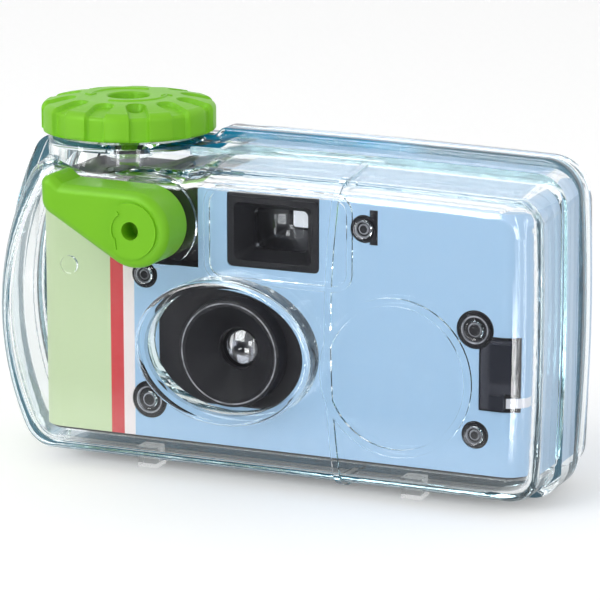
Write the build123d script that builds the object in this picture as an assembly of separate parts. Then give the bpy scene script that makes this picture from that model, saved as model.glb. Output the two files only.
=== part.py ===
from build123d import *
import math
import os

# Single-use 35 mm film camera in a clear waterproof housing. Millimetres.
# Origin: middle of the overall box, on the plane under the feet. +Z up, the lens looks along -Y.

# Inner camera
camera_width = 108.6
camera_height = 54.0
camera_depth = 29.0
camera_end_radius = 5.0
camera_wall = 1.2
camera_edge_bevel = 0.6
cover_split_depth = 14.0

# Printed label card
label_thickness = 0.25
label_side_margin = 1.6
label_notch_depth = 7.0

# Clear housing
wall = 2.2
front_room = 1.3
rear_room = 2.8
right_room = 1.6
grip_room = 10.2
top_room = 4.8
shoulder_room = 3.8
bottom_room = 3.0
foot_height = 2.3
flange_rim = 1.8
flange_rim_top = 2.8
flange_rim_bottom = 1.6
flange_thickness = 3.0
housing_split_depth = 20.1
bevel_depth = 5.0
bevel_right = 5.0
bevel_left = 3.2
bevel_top = 4.0
bevel_bottom = 2.4
bevel_steps = 4
draft_right = 0.5
draft_left = 3.0
draft_top = 2.2
draft_bottom = 0.6
band_height = 1.1
band_depth = 10.0
right_bow_top = 0.4
right_bow_low = 0.8
top_drop = 1.4
left_bow_top = 9.0
left_bow_bottom = 7.4
body_corner = 5.4
body_low_left_corner = 7.0
flange_corner = 8.0
flange_low_corner = 10.0
flange_left_corner = 6.0
flange_bow_top = 1.3
flange_bow_low = 2.0
flange_edge = 0.6
step_corner = 1.6
step_low = 31.0
step_high = 36.0
flange_step_low = 30.6
flange_step_high = 32.6

# Gasket between the flanges
gasket_width = 1.8
gasket_gap = 0.8
gasket_groove = 0.9
gasket_inset = 0.5

# Knob and its turret
knob_across = 12.2
knob_behind = 14.5
knob_radius = 18.4
knob_height = 7.0
knob_gap = 0.8
knob_flat_radius = 10.5
knob_dome_drop = 1.0
knob_edge_radius = 1.6
knob_skirt = 2.4
knob_skirt_depth = 3.0
knob_hub_radius = 5.6
knob_hole_radius = 4.4
knob_hole_depth = 3.6
knob_small_hole_radius = 1.5
knob_small_hole_place = 12.8
knob_small_hole_angle = -57.0
knob_recesses = 12
knob_recess_angle = 3.0
knob_recess_width = 4.0
knob_recess_depth = 0.8
knob_recess_inner = 11.2
knob_arrow_radius = 8.0
knob_arrow_width = 0.7
knob_arrow_height = 0.3
knob_arrow_starts = (-95.0, 85.0)
knob_arrow_sweep = 120.0
turret_radius = 17.0
turret_rise = 2.0
turret_wall = 2.0
turret_bevel = 0.8
shaft_radius = 2.1
shaft_clearance = 0.05
shaft_boss_radius = 5.0
shaft_boss_depth = 2.8
seal_section = 0.6
seal_gap = 0.05
clip_thickness = 0.8
clip_radius = 3.9
clip_groove = 0.4
clip_gap = 0.2
key_width = 1.6
key_length = 3.2
key_depth = 1.6
key_clearance = 0.1

# Shutter lever
lever_across = 26.6
lever_above = 47.3
lever_hub_radius = 8.0
lever_depth = 9.6
lever_gap = 0.3
lever_boss_height = 0.8
lever_boss_radius = 9.9
lever_tip_across = 9.2
lever_tip_above = 52.2
lever_tip_radius = 3.4
lever_pad_across = 7.6
lever_pad_above = 55.3
lever_pad_radius = 1.9
lever_edge = 1.8
lever_wall = 1.8
lever_pocket_depth = 6.5
lever_post_radius = 3.6
lever_disc_radius = 5.8
lever_disc_height = 0.5
lever_hole_radius = 1.9
lever_hole_depth = 5.0
lever_arrow_radius = 4.4
lever_arrow_width = 0.8
lever_arrow_height = 0.3
lever_arrow_start = 125.0
lever_arrow_sweep = 80.0
arrow_head_share = 3.0
lever_shaft_radius = 2.0
lever_shaft_grip = 4.0
spring_wire = 0.5
spring_turns = 3.0

# Lens port, window panel and relief on the front of the housing
port_across = 43.8
port_above = 21.9
port_half_width = 19.8
port_half_height = 15.3
port_depth = 5.0
port_wall = 2.0
port_edge = 1.0
panel_across = 54.6
panel_above = 46.1
panel_width = 32.8
panel_height = 20.2
panel_corner = 4.0
panel_line = 1.2
rear_panel_width = 30.0
rear_panel_height = 19.5
relief_height = 0.6
ring_inset = 26.6
ring_above = 19.5
ring_radius = 16.5
ring_line = 1.6
centre_edge_across = 67.5
centre_edge_bow = 2.6
centre_edge_width = 1.4
post_radius = 1.9
post_gap = 0.3

# Ribs on the back for the right thumb
rib_count = 6
rib_pitch = 4.2
rib_width = 1.4
rib_corner = 0.6
rib_height = 26.0
rib_first_across = 3.5

# Feet
foot_width = 4.4
foot_depth = 4.6
foot_left_across = 19.2
foot_right_across = 79.2
foot_front_behind = 3.0
foot_rear_behind = 26.0

# Lens, shutter and viewfinder
lens_across = 44.4
lens_above = 21.4
lens_panel_half_width = 18.1
lens_panel_half_height = 13.9
lens_panel_flat = 12.6
lens_panel_left = 16.0
lens_panel_shift = 1.7
lens_panel_rise = 0.6
lens_panel_height = 0.8
lens_hood_radius = 11.3
lens_hood_mouth = 10.3
lens_hood_reach = 5.0
lens_hood_throat = 4.6
lens_radius = 4.2
lens_thickness = 2.4
lens_dome = 0.9
lens_recess = 0.6
holder_radius = 6.4
holder_length = 4.6
aperture_radius = 1.4
aperture_thickness = 0.4
blade_thickness = 0.3
blade_width = 5.0
blade_gap = 0.3
shutter_pin_radius = 0.9
tunnel_wall = 1.2
gate_width = 36.0
gate_height = 24.0
gate_thickness = 1.2
finder_across = 52.3
finder_above = 46.3
finder_width = 20.0
finder_height = 14.4
finder_rim = 1.0
finder_inner_width = 12.0
finder_inner_height = 8.6
finder_corner = 1.2
finder_lens_thickness = 1.2
finder_lens_centre = 0.8
finder_lens_edge = 3.2
finder_lens_curve = 14.0
eyepiece_width = 10.0
eyepiece_height = 7.0
finder_recess = 4.0

# Film and its drive
cartridge_radius = 12.5
cartridge_height = 42.0
cartridge_lift = 3.4
cartridge_cap = 1.6
cartridge_lip = 0.5
spool_hub_radius = 5.5
film_height = 35.0
film_thickness = 0.2
film_gap = 0.25
pressure_pad = 1.3
roll_radius = 10.2
roll_inset = 12.4
roll_core_radius = 4.0
wheel_radius = 8.2
wheel_thickness = 2.2
wheel_teeth = 20
wheel_tooth_radius = 0.7
sprocket_across = 32.6
sprocket_root = 5.2
sprocket_tip = 6.0
sprocket_teeth = 8
sprocket_tooth_width = 1.2
sprocket_height = 3.2
sprocket_stub = 2.0
sprocket_shaft_radius = 1.5
counter_across = 33.4
counter_behind = 13.6
counter_radius = 7.0
counter_thickness = 0.8
counter_window_width = 3.2
counter_marks = 28
pawl_across = 24.3
pawl_behind = 20.7
pawl_length = 4.6
pawl_width = 1.6
pawl_nose_radius = 0.4
pawl_thickness = 1.0
deck_drop = 4.4
deck_thickness = 0.8
running_gap = 0.3
bearing_gap = 0.06

# Release
pocket_left = 13.0
pocket_neck = 22.8
pocket_right = 35.5
pocket_bottom = 37.8
pocket_floor = 46.9
pocket_depth = 4.7
release_across = 17.0
release_behind = 1.6
release_radius = 1.2
release_height = 5.2
release_proud = 0.9
release_guide_drop = 2.6
release_guide = 1.0
arm_thickness = 1.2
arm_hub_radius = 3.0
arm_neck_radius = 1.5
arm_width = 3.4
arm_back = 3.2
finger_front = 1.1
finger_height = 1.8

# Round openings in the label, and the screws and studs behind them
post_opening = 2.9
wide_post_opening = 4.0
upper_post_across = 23.2
upper_post_above = 35.3
lower_post_across = 24.1
lower_post_above = 8.6
keyhole_across = 72.4
keyhole_drop = 5.0
hatch_post_inset = 10.5
hatch_post_above = 30.5
corner_post_inset = 10.3
corner_post_above = 8.8
clear_post_across = 6.0
clear_post_above = 36.0
stud_ring = 0.7
stud_height = 0.5

# Hatch at the right of the label, with a card tab across it
hatch_inset = 1.4
hatch_width = 8.2
hatch_bottom = 14.0
hatch_top = 29.4
hatch_reach = 2.6
slot_shift = 1.2
slot_width = 1.8
slot_length = 7.2
slot_top_margin = 1.0
hatch_plate_margin = 0.6
hatch_plate_height = 0.8
hatch_box_height = 0.5
hatch_box_inset = 2.0
hatch_box_gap = 2.2
hatch_step_width = 3.0
hatch_step_above = 3.4
hatch_groove = 0.4
tab_above = 14.9
tab_width = 2.0
tab_cover = 2.4

# One overrun serves every cut
overrun = 1.0

# Places worked out from the sizes above
body_width = grip_room + camera_width + right_room + wall + wall
camera_left_x = -(body_width / 2) + wall + grip_room
camera_right_x = camera_left_x + camera_width
label_left_x = camera_left_x + label_side_margin
hatch_post_x = camera_right_x - hatch_post_inset
corner_post_x = camera_right_x - corner_post_inset
ring_x = camera_right_x - ring_inset
roll_x = camera_right_x - roll_inset
hatch_right_x = camera_right_x - hatch_inset
hatch_left_x = hatch_right_x - hatch_width
lever_front_reach = front_room + wall + lever_boss_height + lever_gap + lever_depth + lever_disc_height
rear_reach = camera_depth + rear_room + wall
camera_y = -(rear_reach - lever_front_reach) / 2
camera_z = foot_height + wall + bottom_room
camera_top_z = camera_z + camera_height
body_front_y = camera_y - front_room - wall
body_back_y = camera_y + rear_reach
bevel_y = body_front_y + bevel_depth
back_bevel_y = body_back_y - bevel_depth
split_y = camera_y + housing_split_depth
rear_split_y = split_y + gasket_gap
body_top_z = camera_top_z + top_room + wall
shoulder_z = camera_top_z + shoulder_room + wall
body_bottom_z = camera_z - bottom_room - wall
turret_top_z = shoulder_z + turret_rise
knob_bottom_z = turret_top_z + knob_gap
knob_x = label_left_x + knob_across
knob_y = camera_y + knob_behind
lever_x = label_left_x + lever_across
lever_z = camera_z + lever_above
lever_boss_y = body_front_y - lever_boss_height
lever_back_y = lever_boss_y - lever_gap
lever_front_y = lever_back_y - lever_depth
lens_x = label_left_x + lens_across
lens_z = camera_z + lens_above
finder_x = label_left_x + finder_across
finder_z = camera_z + finder_above
film_z = camera_z + lens_above
film_y = camera_y + camera_depth - camera_wall - pressure_pad - film_gap - film_thickness / 2
film_front_y = film_y - film_thickness / 2
deck_z = camera_top_z - camera_wall - deck_drop
cartridge_bottom_z = camera_z + cartridge_lift
cartridge_top_z = cartridge_bottom_z + cartridge_height
cover_split_y = camera_y + cover_split_depth
arm_hub_y = camera_y + arm_back
release_x = label_left_x + release_across
release_y = camera_y + release_behind
release_top_z = camera_top_z + release_proud
finger_z = release_top_z + running_gap
lens_front_y = camera_y + lens_recess
holder_back_y = camera_y + holder_length
aperture_back_y = holder_back_y + aperture_thickness
blade_y = aperture_back_y + blade_gap
shutter_wall_y = blade_y + blade_thickness + blade_gap
shutter_pin_x = lens_x + holder_radius
shutter_pin_z = lens_z + blade_width
gate_y = film_front_y - film_gap - gate_thickness
tunnel_mouth = holder_radius + tunnel_wall
tunnel_back_y = camera_y + camera_depth - camera_wall
wheel_bottom_z = deck_z + deck_thickness
wheel_top_z = wheel_bottom_z + wheel_thickness
roll_y = film_front_y - roll_radius - running_gap
sprocket_y = film_front_y - film_gap - sprocket_tip
sprocket_z = film_z + film_height / 2 - sprocket_height
counter_x = label_left_x + counter_across
counter_y = camera_y + counter_behind
counter_bottom_z = camera_top_z - camera_wall - running_gap - counter_thickness
clip_top_z = turret_top_z - turret_wall - shaft_boss_depth - clip_gap
knob_seal_z = turret_top_z - seal_section


def across(distance):
    return label_left_x + distance


def above(distance):
    return camera_z + distance


def behind(distance):
    return camera_y + distance


def front_plane(y):
    return Plane(origin=(0, y, 0), x_dir=(1, 0, 0), z_dir=(0, -1, 0))


def block(x_low, x_high, y_low, y_high, z_low, z_high):
    middle = Pos((x_low + x_high) / 2, (y_low + y_high) / 2, (z_low + z_high) / 2)
    return middle * Box(x_high - x_low, y_high - y_low, z_high - z_low)


def rod_along_y(x, z, radius, y_low, y_high):
    return extrude(front_plane(y_high) * Pos(x, z) * Circle(radius), y_high - y_low)


def rod_along_z(x, y, radius, z_low, z_high):
    return Pos(x, y, (z_low + z_high) / 2) * Cylinder(radius, z_high - z_low)


def slab(sketch, y_low, y_high):
    return extrude(front_plane(y_high) * sketch, y_high - y_low)


def near(sketch, x, z):
    return min(sketch.vertices(), key=lambda corner: math.hypot(corner.X - x, corner.Y - z))


def housing_outline(left, right, top, shoulder, bottom, inset, corners, bows, steps):
    """Outline from the front: bowed sides, a top that falls to the right, a lower shoulder at the knob."""
    top_corner, low_corner, low_left_corner, left_corner = corners
    bow_top, bow_low = bows
    step_from, step_to = steps
    x_right = right - inset
    x_left = left + inset
    z_top = top - inset
    z_shoulder = shoulder - inset
    z_bottom = bottom + inset
    z_middle = (z_top + z_bottom) / 2
    x_low_step = across(step_from) + inset
    x_high_step = across(step_to) + inset
    shoulder_start = (x_left + left_bow_top, z_shoulder)
    step_start = (x_low_step, z_shoulder)
    step_end = (x_high_step, z_top)
    top_end = (x_right - bow_top, z_top - top_drop)
    top_middle = ((x_high_step + x_right - bow_top) / 2, z_top - top_drop / 4)
    low_right = (x_right - bow_low, z_bottom)
    low_left = (x_left + left_bow_bottom, z_bottom)
    lines = Line(shoulder_start, step_start)
    lines += Line(step_start, step_end)
    lines += ThreePointArc(step_end, top_middle, top_end)
    lines += ThreePointArc(top_end, (x_right, z_middle), low_right)
    lines += Line(low_right, low_left)
    lines += ThreePointArc(low_left, (x_left, z_middle), shoulder_start)
    face = make_face(lines)
    rounds = (
        (shoulder_start, left_corner - inset),
        (step_start, step_corner),
        (step_end, step_corner),
        (top_end, top_corner - inset),
        (low_right, low_corner - inset),
        (low_left, low_left_corner - inset),
    )
    for place, radius in rounds:
        face = fillet(near(face, *place), radius)
    return face


def body_section(y, inset, draft, bevel):
    """One cross-section of the housing; draft and bevel are shares from 0 to 1 of the full shrink."""
    left = -(body_width / 2) + draft_left * draft + bevel_left * bevel
    right = body_width / 2 - draft_right * draft - bevel_right * bevel
    top = body_top_z - draft_top * draft - bevel_top * bevel
    shoulder = shoulder_z - draft_top * draft - bevel_top * bevel
    bottom = body_bottom_z + draft_bottom * draft + bevel_bottom * bevel
    corners = (body_corner, body_corner, body_low_left_corner, body_corner)
    bows = (right_bow_top, right_bow_low)
    steps = (step_low, step_high)
    outline = housing_outline(left, right, top, shoulder, bottom, inset, corners, bows, steps)
    return front_plane(y) * outline


def half_body(face_y, turn_y, mouth_y, inset):
    """Rounded edge from the face to the side wall, then straight walls to the mouth."""
    sections = []
    for step in range(bevel_steps + 1):
        turn = math.pi / 2 * step / bevel_steps
        y = face_y + (turn_y - face_y) * (1 - math.cos(turn))
        sections.append(body_section(y, inset * math.sin(turn), 1, 1 - math.sin(turn)))
    walls = [body_section(turn_y, inset, 1, 0), body_section(mouth_y, inset, 0, 0)]
    return loft(sections) + loft(walls, ruled=True)


def flange_outline(inset):
    left = -(body_width / 2) - flange_rim
    right = body_width / 2 + flange_rim
    corners = (flange_corner, flange_low_corner, flange_low_corner, flange_left_corner)
    bottom = body_bottom_z - flange_rim_bottom
    top = body_top_z + flange_rim_top
    bows = (flange_bow_top, flange_bow_low)
    steps = (flange_step_low, flange_step_high)
    return housing_outline(left, right, top, turret_top_z, bottom, inset, corners, bows, steps)


def flange_slab(y_low, y_high, rim_y):
    """Flange plate with its outer edge rounded on the side away from the joint."""
    plate = slab(flange_outline(0), y_low, y_high)
    rim = [edge for edge in plate.edges() if abs(edge.center().Y - rim_y) < flange_edge / 2]
    return fillet(rim, flange_edge)


def band_outline(inset):
    left = -(body_width / 2) - band_height
    right = body_width / 2 + band_height
    corners = (body_corner + band_height, body_corner + band_height, body_low_left_corner, body_corner)
    top = body_top_z + band_height
    bottom = body_bottom_z - band_height
    bows = (right_bow_top, right_bow_low)
    steps = (step_low, step_high)
    shoulder = shoulder_z + band_height
    return housing_outline(left, right, top, shoulder, bottom, inset, corners, bows, steps)


def turret_solid():
    shape = rod_along_z(knob_x, knob_y, turret_radius, camera_top_z, turret_top_z)
    rim = shape.edges().group_by(Axis.Z)[-1]
    return chamfer(rim, turret_bevel)


def turret_hollow():
    radius = turret_radius - turret_wall
    return rod_along_z(knob_x, knob_y, radius, camera_top_z - overrun, turret_top_z - turret_wall)


def front_half_space():
    reach = body_width
    return block(-reach, reach, -reach, split_y, -reach, reach)


def rear_half_space():
    reach = body_width
    return block(-reach, reach, rear_split_y, reach, -reach, reach)


def feet(y_low):
    places = (foot_left_across, foot_right_across)
    shapes = []
    for place in places:
        x_low = across(place)
        y_high = y_low + foot_depth
        nub = block(x_low, x_low + foot_width, y_low, y_high, 0, body_bottom_z + wall)
        shapes.append(nub)
    return shapes


def port_shape(margin, y_low, y_high):
    oval = Ellipse(port_half_width - margin, port_half_height - margin)
    return slab(Pos(across(port_across), above(port_above)) * oval, y_low, y_high)


def lens_port():
    front_y = body_front_y - port_depth
    shape = port_shape(0, front_y, body_front_y + wall / 2)
    rim = shape.edges().group_by(Axis.Y)[0]
    return fillet(rim, port_edge)


def window_panel():
    outer = RectangleRounded(panel_width, panel_height, panel_corner)
    inner_width = panel_width - panel_line - panel_line
    inner_height = panel_height - panel_line - panel_line
    inner = RectangleRounded(inner_width, inner_height, panel_corner - panel_line)
    frame = Pos(across(panel_across), above(panel_above)) * (outer - inner)
    return slab(frame, body_front_y - relief_height, body_front_y + wall / 2)


def right_ring():
    ring = Circle(ring_radius) - Circle(ring_radius - ring_line)
    place = Pos(ring_x, above(ring_above))
    return slab(place * ring, body_front_y - relief_height, body_front_y + wall / 2)


def centre_edge():
    """Bowed ridge between the middle and the right part, over the front, the top and the bottom."""
    x = across(centre_edge_across)
    z_low = body_bottom_z - relief_height
    z_high = body_top_z + relief_height
    middle = (z_low + z_high) / 2
    outline = Line((x, z_low), (x + centre_edge_width, z_low))
    bowed = x - centre_edge_bow
    outline += ThreePointArc(
        (x + centre_edge_width, z_low),
        (bowed + centre_edge_width, middle),
        (x + centre_edge_width, z_high),
    )
    outline += Line((x + centre_edge_width, z_high), (x, z_high))
    outline += ThreePointArc((x, z_high), (bowed, middle), (x, z_low))
    ridge = slab(make_face(outline), body_front_y - relief_height, split_y)
    return ridge & half_body(body_front_y - relief_height, bevel_y, split_y, -relief_height)


def lever_boss():
    return rod_along_y(lever_x, lever_z, lever_boss_radius, lever_boss_y, body_front_y + wall / 2)


def post_places():
    """Place of each round opening in the label, with its radius."""
    return (
        (across(upper_post_across), above(upper_post_above), post_opening),
        (across(lower_post_across), above(lower_post_above), wide_post_opening),
        (across(keyhole_across), camera_top_z - keyhole_drop, post_opening),
        (hatch_post_x, above(hatch_post_above), wide_post_opening),
        (corner_post_x, above(corner_post_above), post_opening),
    )


def shell_posts():
    """Short posts inside the front that hold the camera off the wall."""
    places = [(x, z) for x, z, radius in post_places()]
    places.append((across(clear_post_across), above(clear_post_above)))
    y_low = body_front_y + wall / 2
    y_high = camera_y - label_thickness - post_gap
    return [rod_along_y(x, z, post_radius, y_low, y_high) for x, z in places]


def knob_bores():
    bore_radius = shaft_radius + shaft_clearance
    bore = rod_along_z(knob_x, knob_y, bore_radius, camera_top_z, turret_top_z + overrun)
    gland_radius = shaft_radius + seal_section + seal_section + seal_gap + seal_gap
    gland_bottom = turret_top_z - seal_section - seal_section - seal_gap
    gland = rod_along_z(knob_x, knob_y, gland_radius, gland_bottom, turret_top_z + overrun)
    return [bore, gland]


def lever_bores():
    y_high = body_front_y + wall + overrun
    bore_radius = lever_shaft_radius + shaft_clearance
    bore = rod_along_y(lever_x, lever_z, bore_radius, lever_boss_y - overrun, y_high)
    gland_radius = lever_shaft_radius + seal_section + seal_section + seal_gap + seal_gap
    gland_back = lever_boss_y + seal_section + seal_section + seal_gap
    gland = rod_along_y(lever_x, lever_z, gland_radius, lever_boss_y - overrun, gland_back)
    return [bore, gland]


def gasket_ring():
    outer = flange_outline(gasket_inset)
    inner = flange_outline(gasket_inset + gasket_width)
    return slab(outer - inner, split_y - gasket_groove, rear_split_y)


def make_front_shell():
    shell = half_body(body_front_y, bevel_y, split_y, 0)
    shell += slab(band_outline(0), behind(band_depth), split_y)
    shell += flange_slab(split_y - flange_thickness, split_y, split_y - flange_thickness)
    shell += turret_solid() & front_half_space()
    for nub in feet(behind(foot_front_behind)):
        shell += nub
    shell += lens_port()
    shell += window_panel()
    shell += right_ring()
    shell += centre_edge()
    shell += lever_boss()
    shell -= half_body(body_front_y + wall, bevel_y, split_y + overrun, wall)
    shell -= turret_hollow() & front_half_space()
    port_back_y = body_front_y + wall + overrun
    shell -= port_shape(port_wall, body_front_y - port_depth + port_wall, port_back_y)
    boss_top_z = turret_top_z - turret_wall / 2
    boss_bottom_z = turret_top_z - turret_wall - shaft_boss_depth
    shell += rod_along_z(knob_x, knob_y, shaft_boss_radius, boss_bottom_z, boss_top_z)
    for post in shell_posts():
        shell += post
    for cut in knob_bores() + lever_bores():
        shell -= cut
    shell -= gasket_ring()
    return shell


def make_rear_shell():
    shell = half_body(body_back_y, back_bevel_y, rear_split_y, 0)
    shell += flange_slab(rear_split_y, rear_split_y + flange_thickness, rear_split_y + flange_thickness)
    shell += turret_solid() & rear_half_space()
    for nub in feet(behind(foot_rear_behind)):
        shell += nub
    shell += eyepiece_panel()
    for rib in grip_ribs():
        shell += rib
    shell -= half_body(body_back_y - wall, back_bevel_y, rear_split_y - overrun, wall)
    shell -= turret_hollow() & rear_half_space()
    boss_room = shaft_boss_radius + running_gap
    shell -= rod_along_z(knob_x, knob_y, boss_room, camera_top_z, turret_top_z - turret_wall)
    return shell


def eyepiece_panel():
    outer = RectangleRounded(rear_panel_width, rear_panel_height, panel_corner)
    inner_width = rear_panel_width - panel_line - panel_line
    inner_height = rear_panel_height - panel_line - panel_line
    inner = RectangleRounded(inner_width, inner_height, panel_corner - panel_line)
    frame = Pos(finder_x, finder_z) * (outer - inner)
    return slab(frame, body_back_y - wall / 2, body_back_y + relief_height)


def grip_ribs():
    """Upright ribs on the back for the right thumb."""
    ribs = []
    for number in range(rib_count):
        x = across(rib_first_across) + rib_pitch * number
        rib = Pos(x, above(lens_above)) * RectangleRounded(rib_width, rib_height, rib_corner)
        ribs.append(slab(rib, body_back_y - wall / 2, body_back_y + relief_height))
    return ribs


def knob_blank(inset):
    """Turned body of the knob, with its top and side drawn in by the inset."""
    top = knob_height - inset
    rim_top = top - knob_dome_drop
    outer = knob_radius - inset
    points = ((0, 0), (outer, 0), (outer, rim_top), (knob_flat_radius, top), (0, top))
    profile = make_face(Polyline(*points, close=True))
    profile = fillet(near(profile, outer, rim_top), knob_edge_radius)
    return revolve(Plane.XZ * profile, Axis.Z)


def knob_recess():
    """Round-ended recess that runs in from the rim, between two of the knob's lobes."""
    half = knob_recess_width / 2
    inner = knob_recess_inner + half
    z_range = (-overrun, knob_height + overrun)
    return rod_along_z(inner, 0, half, *z_range) + block(inner, knob_radius + overrun, -half, half, *z_range)


def arrow_arc(radius, width, start, sweep):
    """Flat curved arrow: a ring segment with a triangle at its end, about the local origin."""
    low = radius - width / 2
    high = radius + width / 2
    outer = CenterArc((0, 0), high, start, sweep)
    inner = CenterArc((0, 0), low, start, sweep)
    edge = outer + inner
    edge += Line(outer @ 0, inner @ 0)
    edge += Line(outer @ 1, inner @ 1)
    tail = make_face(edge)
    end = math.radians(start + sweep)
    turn = math.copysign(1, sweep)
    along = Vector(-math.sin(end) * turn, math.cos(end) * turn)
    out = Vector(math.cos(end), math.sin(end))
    middle = out * radius
    tip = middle + along * width * arrow_head_share
    head = make_face(Polyline(middle + out * width, tip, middle - out * width, close=True))
    return tail + head


def make_wind_knob():
    knob = knob_blank(0)
    for number in range(knob_recesses):
        turn = Rot(0, 0, 360 / knob_recesses * number + knob_recess_angle)
        knob -= turn * knob_recess()
    knob += knob_blank(knob_recess_depth)
    skirt = rod_along_z(0, 0, knob_radius - knob_skirt, -overrun, knob_skirt_depth)
    knob -= skirt - rod_along_z(0, 0, knob_hub_radius, -overrun, knob_skirt_depth)
    knob -= rod_along_z(0, 0, knob_hole_radius, knob_height - knob_hole_depth, knob_height + overrun)
    angle = math.radians(knob_small_hole_angle)
    small_x = knob_small_hole_place * math.cos(angle)
    small_y = knob_small_hole_place * math.sin(angle)
    knob -= rod_along_z(small_x, small_y, knob_small_hole_radius, 0, knob_height)
    for start in knob_arrow_starts:
        arrow = arrow_arc(knob_arrow_radius, knob_arrow_width, start, knob_arrow_sweep)
        arrow_solid = extrude(arrow, knob_arrow_height + knob_arrow_height)
        knob += Pos(0, 0, knob_height - knob_arrow_height) * arrow_solid
    knob -= rod_along_z(0, 0, shaft_radius, -overrun, knob_hub_radius / 2)
    return Pos(knob_x, knob_y, knob_bottom_z) * knob


def make_knob_shaft():
    """Stem from the knob's hub, with a clip groove and a flat key at its lower end."""
    top_z = knob_bottom_z + knob_hub_radius / 2
    bottom_z = camera_top_z + running_gap
    shaft = rod_along_z(knob_x, knob_y, shaft_radius, bottom_z, top_z)
    clip_bottom_z = clip_top_z - clip_thickness
    groove = rod_along_z(knob_x, knob_y, shaft_radius + overrun, clip_bottom_z, clip_top_z)
    groove -= rod_along_z(knob_x, knob_y, shaft_radius - clip_groove, clip_bottom_z, clip_top_z)
    shaft -= groove
    half_key = key_width / 2
    half_length = key_length / 2
    shaft += block(
        knob_x - half_length,
        knob_x + half_length,
        knob_y - half_key,
        knob_y + half_key,
        bottom_z - key_depth,
        bottom_z + shaft_radius / 2,
    )
    return shaft


def make_knob_clip():
    clip = rod_along_z(knob_x, knob_y, clip_radius, clip_top_z - clip_thickness, clip_top_z)
    clip -= rod_along_z(knob_x, knob_y, shaft_radius - clip_groove, clip_top_z - clip_thickness, clip_top_z)
    mouth = shaft_radius - clip_groove
    clip -= block(
        knob_x,
        knob_x + clip_radius + overrun,
        knob_y - mouth / 2,
        knob_y + mouth / 2,
        clip_top_z - clip_thickness - overrun,
        clip_top_z + overrun,
    )
    return clip


def make_knob_seal():
    major = shaft_radius + seal_gap + seal_section
    return Pos(knob_x, knob_y, knob_seal_z) * Torus(major, seal_section)


def lever_outline(margin):
    hub = Pos(lever_x, lever_z) * Circle(lever_hub_radius - margin)
    tip = Pos(across(lever_tip_across), above(lever_tip_above)) * Circle(lever_tip_radius - margin)
    return make_hull(hub.edges() + tip.edges())


def lever_pad():
    tip = Pos(across(lever_tip_across), above(lever_tip_above)) * Circle(lever_tip_radius)
    pad = Pos(across(lever_pad_across), above(lever_pad_above)) * Circle(lever_pad_radius)
    return make_hull(tip.edges() + pad.edges())


def make_shutter_lever():
    lever = slab(lever_outline(0) + lever_pad(), lever_front_y, lever_back_y)
    rim = lever.edges().group_by(Axis.Y)[0]
    lever = fillet(rim, lever_edge)
    pocket = slab(lever_outline(lever_wall), lever_back_y - lever_pocket_depth, lever_back_y + overrun)
    pocket_y = lever_back_y - lever_pocket_depth
    pocket -= rod_along_y(lever_x, lever_z, lever_post_radius, pocket_y, lever_back_y + overrun)
    lever -= pocket
    disc_y = lever_front_y - lever_disc_height
    lever += rod_along_y(lever_x, lever_z, lever_disc_radius, disc_y, lever_front_y + lever_edge)
    arrow = arrow_arc(lever_arrow_radius, lever_arrow_width, lever_arrow_start, lever_arrow_sweep)
    arrow_top = disc_y - lever_arrow_height
    lever += slab(Pos(lever_x, lever_z) * arrow, arrow_top, lever_front_y)
    lever -= rod_along_y(lever_x, lever_z, lever_hole_radius, arrow_top - overrun, disc_y + lever_hole_depth)
    grip_y = lever_back_y - lever_shaft_grip
    lever -= rod_along_y(lever_x, lever_z, lever_shaft_radius, grip_y, lever_back_y + overrun)
    return lever


def make_lever_shaft():
    y_high = arm_hub_y + arm_thickness
    return rod_along_y(lever_x, lever_z, lever_shaft_radius, lever_back_y - lever_shaft_grip, y_high)


def make_lever_seal():
    major = lever_shaft_radius + seal_gap + seal_section
    ring = Torus(major, seal_section)
    return Pos(lever_x, lever_boss_y + seal_section, lever_z) * Rot(90, 0, 0) * ring


def make_release_arm():
    """Crank on the inner end of the lever's shaft; its finger stands over the camera's release button."""
    end_x = release_x - lever_x
    end_z = finger_z + finger_height / 2 - lever_z
    end = Pos(end_x, end_z) * Circle(finger_height / 2)
    arm = make_hull(Circle(arm_neck_radius).edges() + end.edges()) + Circle(arm_hub_radius)
    crank = slab(Pos(lever_x, lever_z) * arm, arm_hub_y, arm_hub_y + arm_thickness)
    half_width = arm_width / 2
    crank += block(
        release_x - half_width,
        release_x + half_width,
        behind(finger_front),
        arm_hub_y + arm_thickness,
        finger_z,
        finger_z + finger_height,
    )
    y_high = arm_hub_y + arm_thickness + overrun
    crank -= rod_along_y(lever_x, lever_z, lever_shaft_radius, arm_hub_y - overrun, y_high)
    return crank


def coil_along_y(x, z, y_low, length, radius):
    pitch = length / spring_turns
    path = Helix(pitch, length, radius)
    profile = Plane(path @ 0, z_dir=path % 0) * Circle(spring_wire / 2)
    spring = sweep(profile, path=path, is_frenet=True)
    return Pos(x, y_low, z) * Rot(-90, 0, 0) * spring


def make_lever_spring():
    radius = lever_post_radius + spring_wire
    length = lever_pocket_depth / 2
    return coil_along_y(lever_x, lever_z, lever_boss_y - lever_gap - length - spring_wire, length, radius)


def camera_plan(inset):
    width = camera_width - inset - inset
    depth = camera_depth - inset - inset
    middle_x = (camera_left_x + camera_right_x) / 2
    middle_y = camera_y + camera_depth / 2
    return Pos(middle_x, middle_y) * RectangleRounded(width, depth, camera_end_radius - inset)


def camera_block():
    shape = Pos(0, 0, camera_z) * extrude(camera_plan(0), camera_height)
    rims = shape.edges().group_by(Axis.Z)
    return chamfer(rims[0] + rims[-1], camera_edge_bevel)


def camera_hollow():
    z_low = camera_z + camera_wall
    height = camera_height - camera_wall - camera_wall
    return Pos(0, 0, z_low) * extrude(camera_plan(camera_wall), height)


def camera_front_space():
    reach = camera_width
    return block(-reach, reach, -reach, cover_split_y, -reach, reach)


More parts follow.
